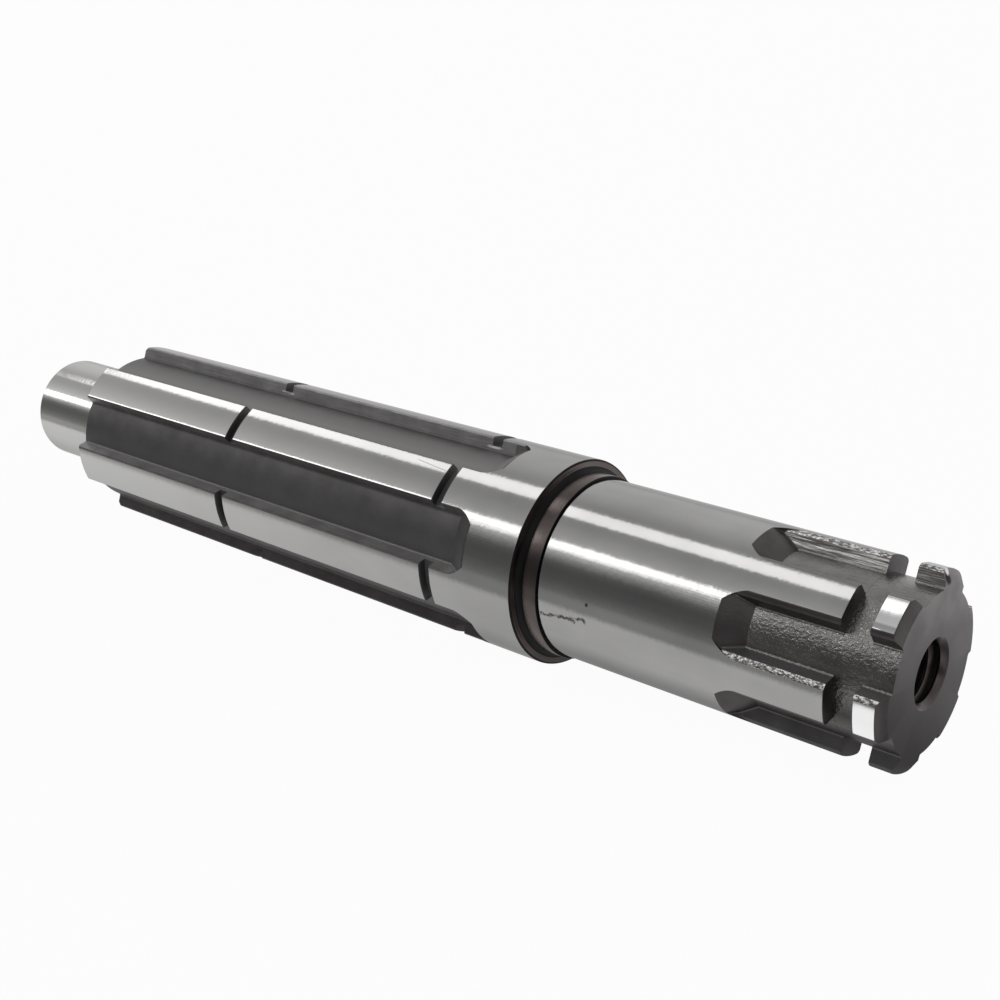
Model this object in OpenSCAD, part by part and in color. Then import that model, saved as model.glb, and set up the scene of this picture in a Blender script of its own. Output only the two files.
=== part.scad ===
/* [Lengths along the shaft] */
// Length of the small end journal
small_len = 16.1; // [14:0.5:20]
// Length of the gear splines with their run-outs
gear_len = 70.8; // [68:0.5:76]
// Length of the plain collar after the splines
collar_len = 6.65; // [6:0.25:9]
// Length of the relief between collar and bearing journal
relief_len = 2.5; // [2.3:0.1:3.2]
// Length of the bearing and seal journal
bearing_len = 21.25; // [19:0.5:26]
// Length of the output splines with their run-outs
output_len = 12.1; // [11.5:0.5:16]
// Width of the retainer groove
retainer_w = 2.9; // [2.4:0.1:3.6]
// Length of the end lugs
lug_len = 2.9; // [2.6:0.1:4]

/* [Diameters] */
// Diameter of the small end journal
small_d = 14; // [12:0.5:16]
// Diameter over the gear splines and the collar
gear_d = 23.3; // [23:0.1:25]
// Root diameter of the gear splines
gear_root_d = 20.2; // [19.4:0.1:20.6]
// Diameter of the turned relief beside the collar
relief_d = 20.6; // [20.4:0.1:21.2]
// Diameter of the bearing journal and over the output splines
bearing_d = 20; // [19.6:0.1:20.2]
// Root diameter of the output splines
output_root_d = 16.5; // [16.4:0.1:17]
// Diameter of the retainer groove's floor
retainer_d = 16.3; // [15:0.1:16.3]

/* [Gear splines] */
// Width of a gear spline tooth
gear_tooth_w = 5; // [4.2:0.1:5.6]
// Break on the edges of the gear spline teeth
gear_edge = 0.2; // [0.1:0.05:0.4]
// Chamfer at the free end of the gear splines
gear_chamfer = 0.5; // [0.2:0.1:0.8]
// Axial length of the ramp at the end of each gap
gear_ramp_len = 2.9; // [2:0.1:4]
// Sideways cut at each corner of the run-out
gear_corner = 1.0; // [0.5:0.1:1.3]
// Distance from the spline end to the first circlip groove
clip_one_at = 29.4; // [26:0.5:33]
// Distance from the spline end to the second circlip groove
clip_two_at = 64.4; // [60:0.5:65]
// Width of the first circlip groove
clip_one_w = 1.35; // [1.1:0.05:1.6]
// Width of the second circlip groove
clip_two_w = 1.45; // [1.1:0.05:1.6]
// Depth of the circlip grooves
clip_depth = 1.0; // [0.7:0.1:1.3]

/* [Output splines] */
// Width of an output spline tooth
output_tooth_w = 4.5; // [3.8:0.1:5]
// Sideways width of the chamfer on the output tooth edges
output_edge_w = 0.5; // [0.2:0.05:0.7]
// Depth of the chamfer on the output tooth edges
output_edge_depth = 0.3; // [0.15:0.05:0.5]
// Axial length of the formed ramp at the start of each gap
output_ramp_len = 2.8; // [2:0.1:4]
// Sideways cut at each corner of the ramp
output_corner = 0.5; // [0.3:0.1:0.9]
// Turn of the output splines against the gear splines
output_turn = -3; // [-30:1:30]
// Axial length of the chamfer on the end lugs
lug_chamfer_len = 0.65; // [0.3:0.05:1.2]
// Depth of the chamfer on the end lugs
lug_chamfer_depth = 1.2; // [0.6:0.1:1.5]

/* [Threaded centre hole] */
// Tapped hole diameter at the thread crests
hole_d = 6; // [5:0.05:7]
// Diameter of the countersink at the end face
countersink_d = 7.2; // [7.1:0.1:9]
// Depth of the full hole
hole_depth = 18; // [10:1:24]

/* [Hidden] */
$fn = 96;
teeth = 6;
pitch = 360 / teeth;

small_chamfer = 0.3;
cove_r = 0.7;
undercut_len = 0.25;
undercut_depth = 0.2;
rim_depth = 0.35;
rim_len = 0.25;
cutter_over = 1;
cutter_reach = 4;
cutter_under = 0.6;

gear_x = small_len;
collar_x = gear_x + gear_len;
relief_x = collar_x + collar_len;
bearing_x = relief_x + relief_len;
output_x = bearing_x + bearing_len;
retainer_x = output_x + output_len;
lug_x = retainer_x + retainer_w;
end_x = lug_x + lug_len;

gear_r = gear_d / 2;
gear_root_r = gear_root_d / 2;
relief_r = relief_d / 2;
bearing_r = bearing_d / 2;
output_root_r = output_root_d / 2;

// half outline of the turned blank, radius against distance from the small end
module turned_outline() {
  difference() {
    polygon([
      [0, 0],
      [small_d / 2 - small_chamfer, 0],
      [small_d / 2, small_chamfer],
      [small_d / 2, gear_x],
      [gear_r - gear_chamfer, gear_x],
      [gear_r, gear_x + gear_chamfer],
      [gear_r, gear_x + clip_one_at],
      [gear_r - clip_depth, gear_x + clip_one_at],
      [gear_r - clip_depth, gear_x + clip_one_at + clip_one_w],
      [gear_r, gear_x + clip_one_at + clip_one_w],
      [gear_r, gear_x + clip_two_at],
      [gear_r - clip_depth, gear_x + clip_two_at],
      [gear_r - clip_depth, gear_x + clip_two_at + clip_two_w],
      [gear_r, gear_x + clip_two_at + clip_two_w],
      [gear_r, relief_x - rim_len],
      [gear_r - rim_depth, relief_x],
      [relief_r + cove_r, relief_x],
      [relief_r + cove_r, relief_x + cove_r],
      [relief_r, relief_x + cove_r],
      [relief_r, bearing_x - undercut_len],
      [bearing_r - undercut_depth, bearing_x - undercut_len],
      [bearing_r - undercut_depth, bearing_x],
      [bearing_r, bearing_x],
      [bearing_r, retainer_x],
      [retainer_d / 2, retainer_x],
      [retainer_d / 2, lug_x],
      [bearing_r, lug_x],
      [bearing_r, end_x - lug_chamfer_len],
      [bearing_r - lug_chamfer_depth, end_x],
      [0, end_x]
    ]);
    // cove that runs from the collar's face into the relief
    translate([relief_r + cove_r, relief_x + cove_r]) circle(r = cove_r);
  }
}

// a point on a tooth's flank line at radius r, for a gap centred on the first axis
function flank(r, half) = [r * cos(pitch / 2 - asin(half / r)), r * sin(pitch / 2 - asin(half / r))];

// cross-section of one gap between two parallel-sided teeth, open outwards
module gap_section(root_r, outer_r, half, edge_w, edge_depth) {
  inner = flank(root_r - cutter_under, half);
  low = flank(outer_r - edge_depth, half);
  top = flank(outer_r, half - edge_w);
  far = top + cutter_reach * (top - low) / norm(top - low);
  difference() {
    polygon([
      [inner[0], -inner[1]],
      [low[0], -low[1]],
      [far[0], -far[1]],
      [far[0], far[1]],
      low,
      inner
    ]);
    circle(r = root_r);
  }
}

// wedge that cuts one corner of a run-out, thin end at the gap's full width
module corner_wedge(side_y, cut, run, outer_r) {
  rotate([90, 0, 90])
    linear_extrude(height = outer_r + cutter_reach + 2 * cutter_over)
      polygon([
        [side_y, 0],
        [side_y + cutter_reach, 0],
        [side_y + cutter_reach, run + 2 * cutter_over],
        [side_y - cut * (run + 2 * cutter_over) / run, run + 2 * cutter_over]
      ]);
}

// one gap of the gear splines, floor at the root and ramp up to the collar
module gear_gap() {
  side = flank(gear_r, gear_tooth_w / 2 - gear_edge)[1];
  difference() {
    translate([0, 0, gear_x - cutter_over])
      linear_extrude(height = gear_len + 2 * cutter_over)
        gap_section(gear_root_r, gear_r, gear_tooth_w / 2, gear_edge, gear_edge);
    translate([0, 0, collar_x - gear_ramp_len])
      cylinder(h = 2 * gear_ramp_len, r1 = gear_root_r, r2 = 2 * gear_r - gear_root_r);
    for (s = [0, 1])
      mirror([0, s, 0])
        translate([0, 0, collar_x - gear_ramp_len])
          corner_wedge(side, gear_corner, gear_ramp_len, gear_r);
  }
}

// one gap of the output splines, ramp down from the journal and floor out to the end
module output_gap() {
  side = flank(bearing_r, output_tooth_w / 2 - output_edge_w)[1];
  difference() {
    translate([0, 0, output_x - cutter_over])
      linear_extrude(height = end_x - output_x + 2 * cutter_over)
        gap_section(output_root_r, bearing_r, output_tooth_w / 2, output_edge_w, output_edge_depth);
    translate([0, 0, output_x - output_ramp_len])
      cylinder(h = 2 * output_ramp_len, r1 = 2 * bearing_r - output_root_r, r2 = output_root_r);
    for (s = [0, 1])
      mirror([0, s, 0])
        translate([0, 0, output_x + output_ramp_len])
          mirror([0, 0, 1])
            corner_wedge(side, output_corner, output_ramp_len, bearing_r);
  }
}

// tapped hole with its countersink, both open at the end face
module centre_hole() {
  sink = (countersink_d - hole_d) / 2;
  rotate_extrude()
    polygon([
      [0, end_x - hole_depth - hole_d / 2 * tan(31)],
      [hole_d / 2, end_x - hole_depth],
      [hole_d / 2, end_x - sink],
      [countersink_d / 2, end_x],
      [countersink_d / 2, end_x + cutter_over],
      [0, end_x + cutter_over]
    ]);
}

module countershaft() {
  color("silver")
    translate([-end_x / 2, 0, gear_r])
      rotate([0, 90, 0])
        difference() {
          rotate_extrude() turned_outline();
          for (i = [0 : teeth - 1]) {
            rotate([0, 0, i * pitch]) gear_gap();
            rotate([0, 0, i * pitch + output_turn]) output_gap();
          }
          centre_hole();
        }
}

countershaft();
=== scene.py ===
from math import asin, atan2, cos, degrees, hypot, pi, radians, sin, tan
import bpy
import bmesh
from mathutils import Matrix, Vector


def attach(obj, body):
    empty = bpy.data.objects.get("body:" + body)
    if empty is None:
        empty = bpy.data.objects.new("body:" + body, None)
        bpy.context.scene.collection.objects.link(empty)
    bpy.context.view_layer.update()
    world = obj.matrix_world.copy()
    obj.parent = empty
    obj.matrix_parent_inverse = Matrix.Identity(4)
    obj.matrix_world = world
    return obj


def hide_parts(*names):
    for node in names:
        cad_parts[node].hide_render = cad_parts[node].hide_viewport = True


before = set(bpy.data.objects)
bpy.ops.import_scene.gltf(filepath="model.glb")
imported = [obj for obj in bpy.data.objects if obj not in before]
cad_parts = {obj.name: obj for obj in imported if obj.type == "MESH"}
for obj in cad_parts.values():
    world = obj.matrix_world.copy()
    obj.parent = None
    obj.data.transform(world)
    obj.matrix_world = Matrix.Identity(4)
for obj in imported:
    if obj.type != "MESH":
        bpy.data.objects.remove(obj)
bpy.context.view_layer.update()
print("frame loaded")

mm = 0.001  # meshes are shaped in millimetres and scaled once at the end


# Wraps a socket, so that shader maths is written as plain Python sums.
class Signal:
    def __init__(self, owner, socket):
        self.owner = owner
        self.socket = socket

    def math(self, operation, *others):
        return self.owner.add("Math", {"operation": operation}, dict(enumerate((self,) + others)))

    def reflected(self, operation, first):
        return self.owner.add("Math", {"operation": operation}, {0: first, 1: self})

    def __add__(self, other):
        return self.math("ADD", other)

    def __radd__(self, other):
        return self.math("ADD", other)

    def __sub__(self, other):
        return self.math("SUBTRACT", other)

    def __rsub__(self, other):
        return self.reflected("SUBTRACT", other)

    def __mul__(self, other):
        return self.math("MULTIPLY", other)

    def __rmul__(self, other):
        return self.math("MULTIPLY", other)

    def __truediv__(self, other):
        return self.math("DIVIDE", other)

    def __rtruediv__(self, other):
        return self.reflected("DIVIDE", other)

    def __pow__(self, other):
        return self.math("POWER", other)

    def clamp(self):
        return self.math("MINIMUM", 1.0).math("MAXIMUM", 0.0)

    def ramp(self, low, high):  # climbs from 0 at low to 1 at high
        return ((self - low) / (high - low)).clamp()

    def bump(self, centre, width):  # 1 at the centre, 0 from half the width away
        return (1.0 - (self - centre).math("ABSOLUTE") / (width / 2)).clamp()


# One material's tree; "add" makes any node from its type, settings and inputs.
class Finish:
    def __init__(self, tree):
        self.tree = tree
        tree.nodes.clear()

    def add(self, kind, settings=None, inputs=None, output=0):
        node = self.tree.nodes.new("ShaderNode" + kind)
        for key, value in (settings or {}).items():
            if key == "stops":
                self.setStops(node.color_ramp.elements, value)
            else:
                setattr(node, key, value)
        for key, value in (inputs or {}).items():
            if isinstance(value, Signal):
                self.tree.links.new(value.socket, node.inputs[key])
            else:
                node.inputs[key].default_value = value
        if isinstance(output, tuple):
            return [Signal(self, node.outputs[name]) for name in output]
        return Signal(self, node.outputs[output]) if node.outputs else None

    def setStops(self, elements, stops):  # grey stops, the first at 0 and the last at 1
        elements[0].color = tint((stops[0][1],) * 3)
        elements[1].color = tint((stops[-1][1],) * 3)
        for position, level in stops[1:-1]:
            elements.new(position).color = tint((level,) * 3)

    def mix(self, factor, first, second):
        return self.add("Mix", {"data_type": "RGBA"}, {0: factor, 6: first, 7: second}, 2)

    def split(self, vector):
        return self.add("SeparateXYZ", None, {0: vector}, ("X", "Y", "Z"))

    def vector(self, x, y, z):
        return self.add("CombineXYZ", None, {0: x, 1: y, 2: z})

    def noise(self, where, scale, detail=2.0, roughness=0.5):
        return self.add("TexNoise", {"noise_dimensions": "3D"},
                        {"Vector": where, "Scale": scale, "Detail": detail, "Roughness": roughness})

    def place(self):  # point on the shaft: along, across and up, in millimetres from its axis
        spot = self.add("TexCoord", output="Object")
        along, across, up = self.split(self.add("VectorMath", {"operation": "SCALE"}, {0: spot, 3: 1 / mm}))
        return along + shaft["halfLength"], across, up - shaft["axisHeight"]


def tint(tone, share=1.0):
    return tuple(part * share for part in tone) + (1,)


# The shaft's shape in millimetres and degrees, with the same named sizes as the solid. x runs from the
# small end. In a gap, "rounding" takes a tooth's broken edge from flat at 0 to round at 1, "ramp" is the
# run-out's length, and "corner" is how far the walls draw in over it. Only "roundFrom" is in radians.
shaft = {
    "halfLength": 67.6, "axisHeight": 11.65,
    "gearX": 16.1, "collarX": 86.9, "reliefX": 93.55, "bearingX": 96.05,
    "outputX": 117.3, "retainerX": 129.4, "lugX": 132.3, "endX": 135.2,
    "smallR": 7.0, "gearR": 11.65, "gearRootR": 10.1, "reliefR": 10.3,
    "bearingR": 10.0, "outputRootR": 8.25, "retainerR": 8.235,
    "smallChamfer": 0.3, "gearChamfer": 0.5, "lugChamfer": 0.65, "lugChamferDepth": 1.2,
    "clipOne": (45.5, 1.35), "clipTwo": (80.5, 1.45), "clipDepth": 1.0,
    "rimLen": 0.14, "rimDepth": 0.16, "cove": 0.7, "coveSteps": 8, "undercut": 0.1, "undercutDepth": 0.15,
    "holeR": 3.0, "sinkR": 3.6, "holeDepth": 18.0, "drillSlope": 31.0,
    "threadRise": 0.42, "threadRunIn": 0.25, "teeth": 6, "turnSteps": 240,
    "edgeRound": 0.07, "roundFrom": 0.5, "sharpFrom": 32.0, "weld": 2e-4,
    "gearGap": {"tooth": 5.0, "turn": 180.0, "edge": 0.2, "edgeDepth": 0.2, "rounding": 1.0,
                "ramp": 2.9, "rampSteps": 12, "corner": 1.4, "cornerPower": 2.2},
    "outputGap": {"tooth": 4.5, "turn": 177.0, "edge": 0.5, "edgeDepth": 0.3, "rounding": 0.4,
                  "ramp": 2.8, "rampSteps": 18, "corner": 1.45, "cornerPower": 1.9},
    "fillet": 0.22, "leastFillet": 0.03, "filletShare": 0.3, "filletSteps": 4, "floorSteps": 12,
    "shoulderSteps": 4, "flare": (1.5, 1.0), "clearOut": 3.0, "clearEnd": 1.0, "clearWall": 0.05,
    "leastOut": 0.002, "leastSide": 0.001,
}


def turnedProfile():  # half outline from the small end's face round to the bottom of the hole
    s = shaft
    points = [(0, 0), (0, s["smallR"] - s["smallChamfer"]), (s["smallChamfer"], s["smallR"]),
              (s["gearX"], s["smallR"]), (s["gearX"], s["gearR"] - s["gearChamfer"]),
              (s["gearX"] + s["gearChamfer"], s["gearR"])]
    for start, width in (s["clipOne"], s["clipTwo"]):
        floor = s["gearR"] - s["clipDepth"]
        points += [(start, s["gearR"]), (start, floor), (start + width, floor), (start + width, s["gearR"])]
    points += [(s["reliefX"] - s["rimLen"], s["gearR"]), (s["reliefX"], s["gearR"] - s["rimDepth"]),
               (s["reliefX"], s["reliefR"] + s["cove"])]
    for step in range(1, s["coveSteps"]):  # cove from the collar's face into the relief
        angle = pi / 2 * step / s["coveSteps"]
        points.append((s["reliefX"] + s["cove"] * (1 - cos(angle)),
                       s["reliefR"] + s["cove"] * (1 - sin(angle))))
    undercutX, undercutR = s["bearingX"] - s["undercut"], s["bearingR"] - s["undercutDepth"]
    points += [(s["reliefX"] + s["cove"], s["reliefR"]), (undercutX, s["reliefR"]), (undercutX, undercutR),
               (s["bearingX"], undercutR), (s["bearingX"], s["bearingR"]),
               (s["retainerX"], s["bearingR"]), (s["retainerX"], s["retainerR"]),
               (s["lugX"], s["retainerR"]), (s["lugX"], s["bearingR"]),
               (s["endX"] - s["lugChamfer"], s["bearingR"]),
               (s["endX"], s["bearingR"] - s["lugChamferDepth"]), (s["endX"], s["sinkR"])]
    lipX, bottomX = s["endX"] - (s["sinkR"] - s["holeR"]), s["endX"] - s["holeDepth"]
    threadR = s["holeR"] + s["threadRise"]
    points += [(lipX, s["holeR"]), (lipX - s["threadRunIn"], threadR), (bottomX, threadR),
               (bottomX - s["holeR"] * tan(radians(s["drillSlope"])), 0)]
    return points


def bendAt(vert):  # how far the outline turns at a point
    before, after = (edge.other_vert(vert) for edge in vert.link_edges)
    return (before.co - vert.co).angle(vert.co - after.co)


def turnedBlank():
    bm = bmesh.new()
    verts = [bm.verts.new((x, 0, r)) for x, r in turnedProfile()]
    for pair in zip(verts, verts[1:]):
        bm.edges.new(pair)
    corners = [vert for vert in verts[1:-1]  # all sharp corners but the retainer groove's
               if abs(vert.co.z - shaft["retainerR"]) > 1e-5 and bendAt(vert) > shaft["roundFrom"]]
    bmesh.ops.bevel(bm, geom=corners, affect="VERTICES", offset=shaft["edgeRound"], offset_type="OFFSET",
                    segments=2, profile=0.5, material=-1)
    bmesh.ops.spin(bm, geom=bm.verts[:] + bm.edges[:], cent=(0, 0, 0), axis=(1, 0, 0), angle=2 * pi,
                   steps=shaft["turnSteps"], use_merge=True)
    bmesh.ops.remove_doubles(bm, verts=bm.verts[:], dist=shaft["weld"] / 2)
    bmesh.ops.recalc_face_normals(bm, faces=bm.faces[:])
    return bm


def onCircle(radius, angle):
    return radius * cos(angle), radius * sin(angle)


def flankPoint(radius, half):  # point on a tooth's flank, for a gap centred on the first axis
    return onCircle(radius, pi / shaft["teeth"] - asin(half / radius))


def curvePoint(start, corner, end, t):  # point on the curve from start to end that heads for the corner
    return [a * (1 - t) ** 2 + c * 2 * t * (1 - t) + b * t * t for a, b, c in zip(start, end, corner)]


def toothShoulder(gap, outerR, half):  # edge of the tooth beside a gap, and on out of the metal
    low = flankPoint(outerR - gap["edgeDepth"], half)
    sharp, top = flankPoint(outerR, half), flankPoint(outerR, half - gap["edge"])
    points = []
    for step in range(shaft["shoulderSteps"] + 1):
        t = step / shaft["shoulderSteps"]
        flat = [a + (b - a) * t for a, b in zip(low, top)]
        points.append([f + (c - f) * gap["rounding"] for f, c in zip(flat, curvePoint(low, sharp, top, t))])
    outwards, sideways = shaft["flare"]
    side = top[1] + sideways
    return points + [(top[0] + outwards, side), (outerR + shaft["clearOut"], side)]


def gapRing(gap, rootR, outerR, sideLimit):  # section of one gap as (out, side) points
    half = gap["tooth"] / 2
    floorSide = min(flankPoint(rootR, half)[1], sideLimit)
    floorAngle = asin(floorSide / rootR)
    fillet = max(shaft["leastFillet"], min(shaft["fillet"], (outerR - rootR) * shaft["filletShare"]))
    wallR = rootR + fillet
    wall = wallR * cos(floorAngle), min(wallR * sin(floorAngle), sideLimit)
    if wallR < outerR - gap["edgeDepth"] - shaft["clearWall"] and flankPoint(wallR, half)[1] < sideLimit:
        wall = flankPoint(wallR, half)
    flatAngle = floorAngle - fillet / rootR
    flatEnd, corner = onCircle(rootR, flatAngle), onCircle(rootR, floorAngle)
    arc = [onCircle(rootR, flatAngle * step / shaft["floorSteps"]) for step in range(shaft["floorSteps"])]
    for step in range(shaft["filletSteps"] + 1):  # small fillet where the wall meets the floor
        arc.append(tuple(curvePoint(flatEnd, corner, wall, step / shaft["filletSteps"])))
    ring = [(out, -side) for out, side in reversed(arc[1:])] + arc
    raised = []
    for out, side in toothShoulder(gap, outerR, half):  # a run-out holds the wall in, and it only climbs
        lastOut, lastSide = raised[-1] if raised else ring[-1]
        raised.append((max(out, lastOut + shaft["leastOut"]),
                       max(min(side, sideLimit), lastSide + shaft["leastSide"])))
    return ring + raised + [(out, -side) for out, side in reversed(raised)]


def gapStations(gap, rootR, outerR, openX, runOutX):  # sections from a gap's open end to past its ramp
    side = flankPoint(outerR, gap["tooth"] / 2 - gap["edge"])[1]
    towards = 1 if runOutX > openX else -1
    start = runOutX - towards * gap["ramp"]
    climbs = [(openX - towards * shaft["clearEnd"], 0.0), (start, 0.0)]
    climbs += [(start + towards * gap["ramp"] * step / gap["rampSteps"], step / gap["rampSteps"])
               for step in range(1, gap["rampSteps"] + 2)]
    return [(x, gapRing(gap, rootR + (outerR - rootR) * climb, outerR,
                        side - gap["corner"] * climb ** gap["cornerPower"])) for x, climb in climbs]


def gapCutter(stations, turn, indices):  # bar through every gap in the list, shaped station by station
    bm = bmesh.new()
    for index in indices:
        spin = Matrix.Rotation(radians(turn + 360 * index / shaft["teeth"]), 3, "X")
        rings = [[spin @ Vector((x, -side, out)) for out, side in ring] for x, ring in stations]
        face = bm.faces.new([bm.verts.new(spot) for spot in rings[0]])
        for count, ring in enumerate(rings[1:]):
            grown = bmesh.ops.extrude_face_region(bm, geom=[face])["geom"]
            if count and face.is_valid:
                bmesh.ops.delete(bm, geom=[face], context="FACES_ONLY")
            face = [item for item in grown if isinstance(item, bmesh.types.BMFace)][0]
            for loop, spot in zip(face.loops, ring):
                loop.vert.co = spot
    bmesh.ops.recalc_face_normals(bm, faces=bm.faces[:])
    print("gap bars:", len(bm.faces), "faces,", openEdges(bm), "open edges")
    return bm


def openEdges(bm):
    return sum(not edge.is_manifold for edge in bm.edges)


def asObject(bm, name):
    mesh = bpy.data.meshes.new(name)
    bm.to_mesh(mesh)
    bm.free()
    thing = bpy.data.objects.new(name, mesh)
    bpy.context.scene.collection.objects.link(thing)
    return thing


def carve(blank, cutters):
    for bar in cutters:
        cut = blank.modifiers.new(bar.name, "BOOLEAN")
        cut.operation, cut.solver, cut.object = "DIFFERENCE", "EXACT", bar
    done = blank.evaluated_get(bpy.context.evaluated_depsgraph_get())
    mesh = bpy.data.meshes.new_from_object(done)
    for thing in [blank] + cutters:
        bpy.data.objects.remove(thing)
    return mesh


def shadeAndPlace(bm):  # smooth but for the sharp edges, then into the frame in metres
    for face in bm.faces:
        face.smooth = True
    for edge in bm.edges:
        edge.smooth = len(edge.link_faces) == 2 and edge.calc_face_angle() < radians(shaft["sharpFrom"])
    bmesh.ops.translate(bm, verts=bm.verts[:], vec=(-shaft["halfLength"], 0, shaft["axisHeight"]))
    bmesh.ops.scale(bm, verts=bm.verts[:], vec=(mm, mm, mm))


blank = asObject(turnedBlank(), "blank")
gapSets = []
for name, rootR, outerR, openX, runOutX in (("gearGap", "gearRootR", "gearR", "gearX", "collarX"),
                                            ("outputGap", "outputRootR", "bearingR", "endX", "outputX")):
    stations = gapStations(shaft[name], shaft[rootR], shaft[outerR], shaft[openX], shaft[runOutX])
    for indices in ((0, 2, 4), (1, 3, 5)):  # each set of bars cuts every second gap
        bars = gapCutter(stations, shaft[name]["turn"], indices)
        gapSets.append(asObject(bars, "gap%d" % len(gapSets)))
carved = carve(blank, gapSets)
print("gaps cut:", len(carved.polygons), "faces")

# The finishes. "depth" and "scale" shape the grain, which is drawn out along the shaft where "stretch" is
# under 1. The tone fields are painted light and painted shade: tones round some angles, given as the angle,
# how far it fades and the tone. "flakes" are near-white spots, partly bare metal and partly painted glints,
# given as a scale and the two ends of a ramp. Marks lie at x in millimetres, and angles run from the top to
# the front.
finish = {
    "steels": {
        "groundSteel": {"tone": (0.47, 0.465, 0.46), "rough": 0.11, "depth": 0.010},
        # the gap steel's pale fields round 8 and 76 degrees are painted light
        "gapSteel": {"tone": (0.13, 0.125, 0.127), "rough": 0.5, "depth": 0.01,
                     "scale": 3.0, "stretch": 0.3,
                     "lightAndShadeFields": ((8.0, 26.0, (0.27, 0.265, 0.26)), (76.0, 24.0, (0.2, 0.195, 0.2)))},
        # the forged steel's dark field round 98 degrees is painted shade on the lower floors
        "forgedSteel": {"tone": (0.24, 0.232, 0.222), "rough": 0.23, "depth": 0.07,
                        "scale": 3.0, "stretch": 0.8, "flakes": (6.0, 0.60, 0.74),
                        "lightAndShadeFields": ((98.0, 32.0, (0.05, 0.047, 0.045)),)},
        "scaledEdge": {"tone": (0.16, 0.155, 0.15), "rough": 0.32, "depth": 0.06,
                       "scale": 5.0, "stretch": 0.6, "flakes": (4.2, 0.45, 0.60)},
        "turnedSteel": {"tone": (0.135, 0.114, 0.108), "rough": 0.20, "depth": 0.02,
                        "scale": 1.0, "stretch": 9.0},
        "endSteel": {"tone": (0.34, 0.325, 0.33), "rough": 0.55, "depth": 0.01, "scale": 5.0},
        # near black: painted shade in the cove, on the collar's rim and in the undercut
        "covePaintedShade": {"tone": (0.02, 0.02, 0.02), "rough": 0.5, "depth": 0.01, "scale": 5.0},
        # the lugs' tops are far paler than the ground steel: a painted highlight
        "lugHighlightSteel": {"tone": (0.9, 0.9, 0.9), "rough": 0.16, "depth": 0.006},
        "flankSteel": {"tone": (0.30, 0.29, 0.29), "rough": 0.42, "depth": 0.02,
                       "scale": 3.0, "stretch": 0.12},
        "drawnFlank": {"tone": (0.24, 0.23, 0.22), "rough": 0.30, "depth": 0.09,
                       "scale": 3.4, "stretch": 0.05, "flakes": (2.6, 0.50, 0.64)},
        # a darker copy of the flank steel for faces low down or turned away from the light: painted shade
        "paintedShadeSteel": {"tone": (0.115, 0.105, 0.105), "rough": 0.42, "depth": 0.03,
                       "scale": 3.0, "stretch": 0.3},
        # darker than the end face: painted shade inside the hole
        "threadShadeSteel": {"tone": (0.11, 0.09, 0.09), "rough": 0.28, "depth": 0.01, "scale": 3.0},
    },
    "edgeOn": 0.7, "leftTone": (0.72, 0.715, 0.70), "leftFade": (5.0, 88.0),
    # the near-white flake tone also paints glints and the burrs' highlights; the dark tone paints the
    # nick's shade
    "stainTone": (0.04, 0.035, 0.03), "flakeAndGlintTone": (0.95, 0.94, 0.92), "darkTone": (0.02, 0.02, 0.02),
    "stain": {"left": 95.6, "right": 102.4, "angle": 89.3, "slope": -0.75, "width": 1.0, "blobs": 1.6},
    "dot": {"x": 102.4, "angle": 73.3, "halfLength": 0.24, "halfAngle": 1.5},
    "scratch": {"x": 78.4, "length": 6.0, "angle": 22.5, "slope": 0.5, "width": 0.5, "share": 0.5},
    # painted shade along the lower edge of the lug that faces the front
    "lugEdgeShade": {"tone": (0.45, 0.45, 0.45), "angle": 36.6, "width": 7.0},
    # the forged floors' flakes show only towards the front, where light falls: painted glints
    "litFlakesFrom": (14.0, 24.0), "litFlakesTo": (56.0, 67.0),
    # painted shade: the end face gets darker low down
    "endLowShade": {"tone": (0.12, 0.112, 0.115), "lean": 0.5, "low": -6.0, "high": 10.0},
    # a real nick painted black as its shade, and a painted glint beside it
    "nickShade": {"spot": (3.58, 8.47), "reach": 0.75}, "glint": {"spot": (4.01, 8.9), "reach": 0.45},
    # burrs painted near white as glints along the rear flank
    "burr": {"radius": 10.53, "width": 0.34, "fromGroove": 0.5, "length": 2.6, "fade": (-10.0, 0.0)},
}


def newFinish(name):
    material = bpy.data.materials.new(name)
    material.use_nodes = True
    return material, Finish(material.node_tree)


def angleAround(across, up):  # degrees from the top towards the front
    return (0.0 - across).math("ARCTAN2", up) * (180 / pi)


def metal(f, tone, roughness, height, edgeOn=1.0):
    bump = f.add("Bump", None, {"Strength": 1.0, "Distance": 1.0, "Height": height * mm})
    shade = f.add("BsdfPrincipled", None, {"Base Color": tone, "Metallic": 1.0, "Roughness": roughness,
                                           "Specular Tint": tint((edgeOn,) * 3), "Normal": bump})
    f.add("OutputMaterial", None, {"Surface": shade})


def stainLine(f, along, across, up, around):  # wandering line that swells into blobs
    s = finish["stain"]
    wander = f.noise(f.vector(along * 0.9, 0.0, 0.0), 1.0, 2.0, 0.55) * 8.0 - 4.0
    blobs = f.noise(f.vector(along * 0.8, 7.0, 0.0), 1.0, 1.0, 0.5).ramp(0.4, 0.65)
    off = (around - (along - s["left"]) * s["slope"] - s["angle"] - wander).math("ABSOLUTE")
    line = (1.0 - off / (blobs * s["blobs"] + s["width"])).clamp()
    strength = f.noise(f.vector(along * 2.0, across * 2.0, up * 2.0), 1.0, 2.0, 0.6).ramp(0.34, 0.5)
    ends = along.bump((s["left"] + s["right"]) / 2, s["right"] - s["left"]).ramp(0.0, 0.08)
    return line * strength * ends


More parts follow.
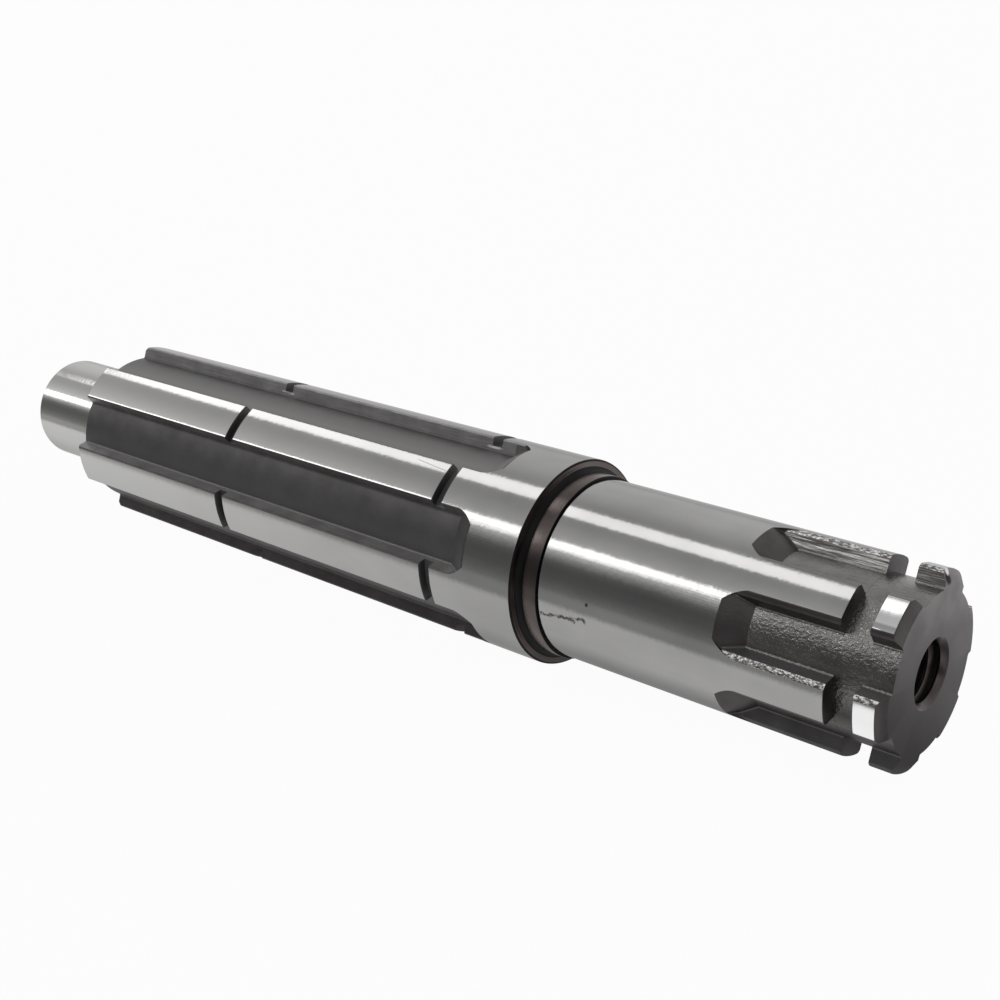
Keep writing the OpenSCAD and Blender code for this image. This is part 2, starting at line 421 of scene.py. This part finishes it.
def journalMarks(f, colour, along, across, up, around):
    colour = f.mix(along.ramp(*finish["leftFade"]), tint(finish["leftTone"]), colour)
    dot, scratch = finish["dot"], finish["scratch"]
    offX, offAngle = (along - dot["x"]) / dot["halfLength"], (around - dot["angle"]) / dot["halfAngle"]
    speck = (1.0 - (offX ** 2.0 + offAngle ** 2.0) ** 0.5).clamp()
    off = (around - (along - scratch["x"]) * scratch["slope"] - scratch["angle"]).math("ABSOLUTE")
    ends = (along.bump(scratch["x"], scratch["length"]) * 4.0).clamp()
    scored = (1.0 - off / scratch["width"]).clamp() * ends * scratch["share"]
    marks = (stainLine(f, along, across, up, around) * 1.4 + speck * 2.0).clamp() * 0.9
    return f.mix(marks + scored, colour, tint(finish["stainTone"]))


def polishedSteel(name):
    steel = finish["steels"][name]
    material, f = newFinish(name)
    along, across, up = f.place()
    around = angleAround(across, up)
    grain = f.noise(f.vector(along * 2.2, across, up), 1.0, 2.0, 0.55)
    lines = f.noise(f.vector(along * 9.0, across * 0.15, up * 0.15), 1.0, 1.0, 0.5)  # grinding rings
    cloud = f.noise(f.vector(along * 0.12, across * 0.2, up * 0.2), 1.0, 2.0, 0.5)  # broad patches
    colour = f.mix(cloud.ramp(0.35, 0.7), tint(steel["tone"]), tint(steel["tone"], 0.88))
    if name == "groundSteel":
        colour = journalMarks(f, colour, along, across, up, around)
    else:  # the lug that faces the front gets painted shade along its lower edge
        lugShade = finish["lugEdgeShade"]
        edge = (around.bump(lugShade["angle"], lugShade["width"]) * 3.0).clamp()
        colour = f.mix(edge, colour, tint(lugShade["tone"]))
    height = grain * steel["depth"] + lines * (steel["depth"] * 0.25)
    metal(f, colour, 0.05 * grain + steel["rough"] - 0.025, height, finish["edgeOn"])
    return material


def endShadeAndGlint(f, colour, across, up):  # painted shade darker low down, and on the rear lug's chamfer a real nick painted black as its shade with a painted glint beside it
    low = finish["endLowShade"]
    rise = (up + across * low["lean"]).ramp(low["low"], low["high"]) ** 2.0
    colour = f.mix(rise, tint(low["tone"]), colour)
    for mark, tone in ((finish["nickShade"], finish["darkTone"]), (finish["glint"], finish["flakeAndGlintTone"])):
        away = ((across - mark["spot"][0]) ** 2.0 + (up - mark["spot"][1]) ** 2.0) ** 0.5
        colour = f.mix(((1.0 - away / mark["reach"]) * 2.0).clamp(), colour, tint(tone))
    return colour


def grooveBurrGlints(f, colour, along, across, up, around, grain):  # burrs where the clip grooves break the rear flank, painted near white as glints
    burr = finish["burr"]
    one, two = ((along.bump(groove[0] + burr["fromGroove"], burr["length"]) * 3.0).clamp()
                for groove in (shaft["clipOne"], shaft["clipTwo"]))
    ridge = ((across ** 2.0 + up ** 2.0) ** 0.5).bump(burr["radius"], burr["width"])
    share = (ridge * 2.0).clamp() * (one + two) * grain.ramp(0.38, 0.5) * (1.0 - around.ramp(*burr["fade"]))
    return f.mix(share, colour, tint(finish["flakeAndGlintTone"]))


def dullSteel(name):
    steel = finish["steels"][name]
    material, f = newFinish(name)
    along, across, up = f.place()
    around = angleAround(across, up)
    where = f.vector(along * steel.get("stretch", 1.0), across, up)
    grain = f.noise(where, steel["scale"], 3.0, 0.6)
    cloud = f.noise(f.vector(along, across, up), 0.35, 2.0, 0.5)
    colour = f.mix(cloud.ramp(0.3, 0.7), tint(steel["tone"], 1.15), tint(steel["tone"], 0.82))
    # painted light and painted shade: tones laid round some angles
    for angle, reach, tone in steel.get("lightAndShadeFields", ()):
        colour = f.mix(around.bump(angle, 2 * reach), colour, tint(tone))
    if "flakes" in steel:
        scale, low, high = steel["flakes"]
        spots = f.noise(where, scale, 3.0, 0.65).ramp(low, high)
        if name == "forgedSteel":  # flakes only towards the front, where light falls: painted glints
            spots = spots * around.ramp(*finish["litFlakesFrom"]) * (1.0 - around.ramp(*finish["litFlakesTo"]))
        colour = f.mix(spots, colour, tint(finish["flakeAndGlintTone"]))
    if name == "endSteel":
        colour = endShadeAndGlint(f, colour, across, up)
    if name == "flankSteel":
        colour = grooveBurrGlints(f, colour, along, across, up, around, grain)
    metal(f, colour, steel["rough"], grain * steel["depth"])
    return material


finishes = {name: polishedSteel(name) if name in ("groundSteel", "lugHighlightSteel") else dullSteel(name)
            for name in finish["steels"]}

# How a face gets its finish: reaches in millimetres, facings as cosines, and angles in degrees. Faces low
# on the shaft, on its far side or turned away from the light get darker finishes, which is painted shade.
zones = {
    "skin": 0.02, "turned": 0.03, "endFaceR": 9.2, "drillTip": 3.0, "rim": 0.1, "cove": 0.05,
    "smallFace": 1.0, "edgeBand": 0.3, "lastFlank": 1.0, "shoulderBand": 0.1,
    "facingOut": 0.97, "facingAlong": 0.98, "reliefOut": 0.9, "threadAlong": 0.3,
    "gearWall": 0.35, "gearEdge": 0.3, "gearRampAlong": 0.75, "gearWallAlong": 0.3,
    "outputAlong": 0.25, "outputEdge": 0.6, "outputFloor": 0.5,
    "underside": 100.0, "farSide": -80.0,
    "frontTooth": 60.0, "lowTooth": 110.0, "lowFloor": 112.0, "lowLug": 120.0,
}


def turnedRadius(x):  # the turned outline's radius at a place along the axis
    if x < shaft["gearX"]:
        return shaft["smallR"]
    return shaft["gearR"] if x < shaft["reliefX"] else shaft["bearingR"]


def reliefFinish(x, r, outward, alongAxis):
    # painted shade: the rim, the cove and the undercut are near black
    if x > shaft["reliefX"] + shaft["cove"] - zones["cove"]:
        onRelief = r > shaft["bearingR"] + zones["rim"] and outward > zones["reliefOut"]
        return "turnedSteel" if onRelief else "covePaintedShade"
    return "turnedSteel" if abs(alongAxis) > zones["facingAlong"] else "covePaintedShade"


def gearFinish(x, r, outward, alongAxis, side):
    # painted shade: walls on the underside and far side get the darkest finish
    if side > zones["underside"] or side < zones["farSide"]:
        return "paintedShadeSteel" if outward < zones["gearWall"] else "gapSteel"
    # tooth edges: flank steel on the far side, painted shade on the front and below
    onEdge = outward > zones["gearEdge"] and abs(r - shaft["gearR"]) < zones["edgeBand"]
    if onEdge and abs(alongAxis) < zones["gearRampAlong"]:
        return "flankSteel" if side < 0.0 else "paintedShadeSteel"
    # painted shade: far flanks past the second clip groove get the darker gap steel
    onWall = outward < zones["gearWall"] and abs(alongAxis) < zones["gearWallAlong"]
    seen = x < shaft["clipTwo"][0] + zones["lastFlank"] or side > 0.0
    return "flankSteel" if onWall and seen else "gapSteel"


def outputFinish(x, r, outward, alongAxis, side, upward):
    # faces along the axis: end steel on the lugs' chamfers, but painted shade low on the front and on the
    # rest
    if abs(alongAxis) > zones["outputAlong"]:
        onLug = alongAxis > 0.0 and x > shaft["lugX"] and not 0.0 < side < zones["lowLug"]
        return "endSteel" if onLug else "paintedShadeSteel"
    # tooth edges: lighter finishes where they face up, painted shade where they face down or lie low
    edgeR = shaft["bearingR"] - shaft["outputGap"]["edgeDepth"] - zones["shoulderBand"]
    if outward > zones["outputEdge"] and r > edgeR:
        if side < 0.0:
            return "scaledEdge"
        if side < zones["frontTooth"]:  # the front tooth's upper edges get the darker gap steel, and its lower edges painted shade
            return "gapSteel" if upward else "paintedShadeSteel"
        return "scaledEdge" if upward and side < zones["lowTooth"] else "paintedShadeSteel"
    # floors: painted shade from low on the front round the underside
    if outward > zones["outputFloor"]:
        return "forgedSteel" if side < zones["lowFloor"] else "paintedShadeSteel"
    # flanks: a lighter finish or painted shade, by which way they face
    if side < 0.0:
        return "paintedShadeSteel" if upward else "drawnFlank"
    return "gapSteel" if upward else "paintedShadeSteel"


def finishOf(centre, normal):
    x, r = centre.x, hypot(centre.y, centre.z)
    outward = (normal.y * centre.y + normal.z * centre.z) / max(r, 1e-6)
    if x > shaft["endX"] - zones["skin"] and r < zones["endFaceR"]:
        return "endSteel"
    if r < shaft["sinkR"] + zones["skin"] and x > shaft["endX"] - shaft["holeDepth"] - zones["drillTip"]:
        return "threadShadeSteel" if normal.x > zones["threadAlong"] else "paintedShadeSteel"
    side = atan2(-centre.y, centre.z)  # from the top towards the front
    upward = sin(atan2(-normal.y, normal.z) - side) < 0.0
    side = degrees(side)
    if abs(r - turnedRadius(x)) < zones["turned"] and outward > zones["facingOut"]:
        return "lugHighlightSteel" if x > shaft["lugX"] else "groundSteel"
    if shaft["reliefX"] - shaft["rimLen"] - zones["rim"] < x < shaft["bearingX"]:
        return reliefFinish(x, r, outward, normal.x)
    if x < shaft["gearX"] + zones["skin"]:
        return "gapSteel" if x > zones["smallFace"] else "endSteel"
    if x < shaft["reliefX"]:
        return gearFinish(x, r, outward, normal.x, side)
    return outputFinish(x, r, outward, normal.x, side, upward)


def shaftBody():
    bm = bmesh.new()
    bm.from_mesh(carved)
    bpy.data.meshes.remove(carved)
    bmesh.ops.remove_doubles(bm, verts=bm.verts[:], dist=shaft["weld"])
    bmesh.ops.dissolve_degenerate(bm, edges=bm.edges[:], dist=shaft["weld"])
    bmesh.ops.recalc_face_normals(bm, faces=bm.faces[:])
    names = list(finish["steels"])
    for face in bm.faces:
        face.material_index = names.index(finishOf(face.calc_center_median(), face.normal))
    shadeAndPlace(bm)
    print("shaft finished:", len(bm.faces), "faces,", openEdges(bm), "open edges")
    body = asObject(bm, "shaftBody")
    for name in names:
        body.data.materials.append(finishes[name])
    weighted = body.modifiers.new("flatsKeepTheirNormals", "WEIGHTED_NORMAL")
    weighted.mode, weighted.weight, weighted.keep_sharp = "FACE_AREA", 80, True
    return body


body = shaftBody()
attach(body, "root")
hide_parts("countershaft")

# The thread's ridge in millimetres, but its two half widths are shares of the pitch.
ridge = {
    "pitch": 1.0, "turns": 13, "steps": 60, "startIn": 0.55, "sunk": 0.03,
    "rootHalf": 0.44, "crestHalf": 0.07,
}


def threadRidge():  # one ridge winding into the end hole
    bm = bmesh.new()
    start = shaft["endX"] - (shaft["sinkR"] - shaft["holeR"]) - ridge["startIn"]
    root = shaft["holeR"] + shaft["threadRise"] + ridge["sunk"]
    outline = [(-ridge["rootHalf"], root), (-ridge["crestHalf"], shaft["holeR"]),
               (ridge["crestHalf"], shaft["holeR"]), (ridge["rootHalf"], root)]
    bm.faces.new([bm.verts.new((start + x * ridge["pitch"], 0, r)) for x, r in outline])
    bmesh.ops.spin(bm, geom=bm.verts[:] + bm.edges[:] + bm.faces[:], cent=(0, 0, 0), axis=(1, 0, 0),
                   dvec=(-ridge["pitch"] / ridge["steps"], 0, 0), angle=2 * pi * ridge["turns"],
                   steps=ridge["steps"] * ridge["turns"], use_merge=False)
    bmesh.ops.recalc_face_normals(bm, faces=bm.faces[:])
    shadeAndPlace(bm)
    print("thread:", len(bm.faces), "faces,", openEdges(bm), "open edges")
    return asObject(bm, "threadRidge")


thread = threadRidge()
thread.data.materials.append(finishes["threadShadeSteel"])
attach(thread, "root")

# The studio: places and sizes in metres, and angles in degrees, a lamp's or the tent's from the top to
# the front. "tent" is the soft light round the shaft, as angles and levels. "mirror" is painted light and
# shade that the floor gives to reflections only, a painted shadow under the shaft, painted falloff far off
# and a painted pale card, in millimetres along the shaft and to the front of it.
studio = {
    "cameraPlace": (0.117065, -0.104089, 0.097068), "cameraTurn": (60.8465, 7.7685, 39.9296), "lens": 52.96,
    "floorSize": 4.0, "floorBack": 0.5, "floorDrop": 0.0001, "floorGlow": 0.96,
    "floorTone": (0.8, 0.8, 0.8), "backdrop": 0.975, "lampHeight": 0.0116, "lampDistance": 1.0,
    "lamps": {
        "overheadStrip": {"turn": -11.0, "width": 0.27, "length": 1.13,
                          "middle": -0.845, "strength": 1.35, "lean": -7.0},
        "frontStrip": {"turn": 36.8, "width": 0.131, "length": 1.85,
                       "middle": -1.375, "strength": 1.9, "lean": 2.0},
        "frontFringe": {"turn": 43.5, "width": 0.10, "length": 1.85,
                        "middle": -1.375, "strength": 1.2, "lean": 4.0},
    },
    "tent": ((-180, 0.62), (-118, 0.95), (-106, 0.86), (-80, 0.84), (-50, 0.68), (-27, 0.46), (-16, 0.42),
             (2, 0.42), (8, 0.44), (20, 0.54), (27, 0.62), (46, 0.70), (51, 0.40), (58, 0.16), (66, 0.12),
             (78, 0.14), (88, 0.20), (96, 0.29), (107, 0.36), (114, 0.62), (180, 0.62)),
    "mirror": {
        "level": 0.72, "underDepth": 0.50, "underReach": 13.0, "underAlong": (-66.0, -40.0),
        "underLeast": 0.2, "nearDark": (38.0, 48.0, 0.35), "farDark": (90.0, 260.0, 0.13),
        "cardGain": 0.65, "cardEdge": 64.3, "cardSlope": 0.381, "cardSoft": 0.8,
        "cardRight": (64.0, 65.0), "cardNear": (11.0, 13.0), "cardFar": (52.0, 54.0),
    },
}


def mirrorLevel(along, front):  # painted shadow under the shaft and painted falloff far off, with a painted pale card at the output end
    m = studio["mirror"]
    under = 1.0 - front.math("ABSOLUTE").ramp(0.0, m["underReach"])
    under = under * (along.ramp(*m["underAlong"]) * (1.0 - m["underLeast"]) + m["underLeast"])
    level = m["level"] - under * m["underDepth"]
    for near, far, depth in (m["nearDark"], m["farDark"]):
        level = level - front.ramp(near, far) * depth
    card = (along + front * m["cardSlope"] - m["cardEdge"]).ramp(-m["cardSoft"], m["cardSoft"])
    card = card * (1.0 - along.ramp(*m["cardRight"])) * front.ramp(*m["cardNear"])
    return level + card * (1.0 - front.ramp(*m["cardFar"])) * m["cardGain"]


def floorFinish():
    material, f = newFinish("paleFloor")
    rays = ("Is Camera Ray", "Is Glossy Ray", "Is Transmission Ray")
    seen, glossy, through = f.add("LightPath", output=rays)
    mirrored = (glossy + through).clamp()
    x, y, z = f.split(f.add("TexCoord", output="Object"))
    # the camera sees the floor evenly white; reflections see its painted shadow, falloff and card
    shine = (seen + mirrored * mirrorLevel(x / mm, y / (0.0 - mm))).clamp()
    glow = f.add("Emission", None, {"Color": f.vector(shine, shine, shine), "Strength": 1.0})
    plain = f.add("BsdfDiffuse", None, {"Color": tint(studio["floorTone"])})
    share = (seen * studio["floorGlow"] + mirrored).clamp()
    f.add("OutputMaterial", None, {"Surface": f.add("MixShader", None, {0: share, 1: plain, 2: glow})})
    return material


def paleFloor():
    bm = bmesh.new()
    bmesh.ops.create_grid(bm, x_segments=1, y_segments=1, size=studio["floorSize"] / 2)
    back = studio["floorSize"] / 2 - studio["floorBack"]
    bmesh.ops.translate(bm, verts=bm.verts[:], vec=(0, back, -studio["floorDrop"]))
    floor = asObject(bm, "floor")
    floor.data.materials.append(floorFinish())
    return floor


def stripLamp(name, turn, width, length, middle, strength, lean):  # long soft box along the shaft
    lamp = bpy.data.lights.new(name, "AREA")
    lamp.shape, lamp.size, lamp.size_y = "RECTANGLE", length, width
    lamp.energy = strength * pi * length * width
    away = Vector((0, -sin(radians(turn)), cos(radians(turn))))
    side = away.cross(Vector((1, 0, 0)))
    axes = Matrix(((1, side.x, away.x), (0, side.y, away.y), (0, side.z, away.z))).to_4x4()
    centre = away * studio["lampDistance"] + Vector((middle, 0, studio["lampHeight"]))
    thing = bpy.data.objects.new(name, lamp)
    thing.matrix_world = Matrix.Translation(centre) @ axes @ Matrix.Rotation(radians(lean), 4, "Z")
    bpy.context.scene.collection.objects.link(thing)


def studioWorld():
    world = bpy.data.worlds.new("studioTent")
    world.use_nodes = True
    f = Finish(world.node_tree)
    x, y, z = f.split(f.add("TexCoord", output="Generated"))
    turn = angleAround(y, z) / 360.0 + 0.5
    stops = [((angle + 180) / 360, level) for angle, level in studio["tent"]]
    tent = f.add("ValToRGB", {"stops": stops}, {0: turn})
    colour = f.mix(f.add("LightPath", output="Is Camera Ray"), tent, tint((studio["backdrop"],) * 3))
    f.add("OutputWorld", None, {"Surface": f.add("Background", None, {"Color": colour, "Strength": 1.0})})
    return world


def studioCamera():
    camera = bpy.data.cameras.new("camera")
    camera.lens, camera.sensor_width, camera.clip_start = studio["lens"], 36.0, 0.01
    thing = bpy.data.objects.new("camera", camera)
    thing.location = studio["cameraPlace"]
    thing.rotation_euler = [radians(angle) for angle in studio["cameraTurn"]]
    bpy.context.scene.collection.objects.link(thing)
    return thing


floor = paleFloor()
for name, lamp in studio["lamps"].items():
    stripLamp(name, **lamp)
bpy.context.scene.world = studioWorld()
bpy.context.scene.camera = studioCamera()
bpy.context.scene.view_settings.view_transform = "Standard"
print("studio set")
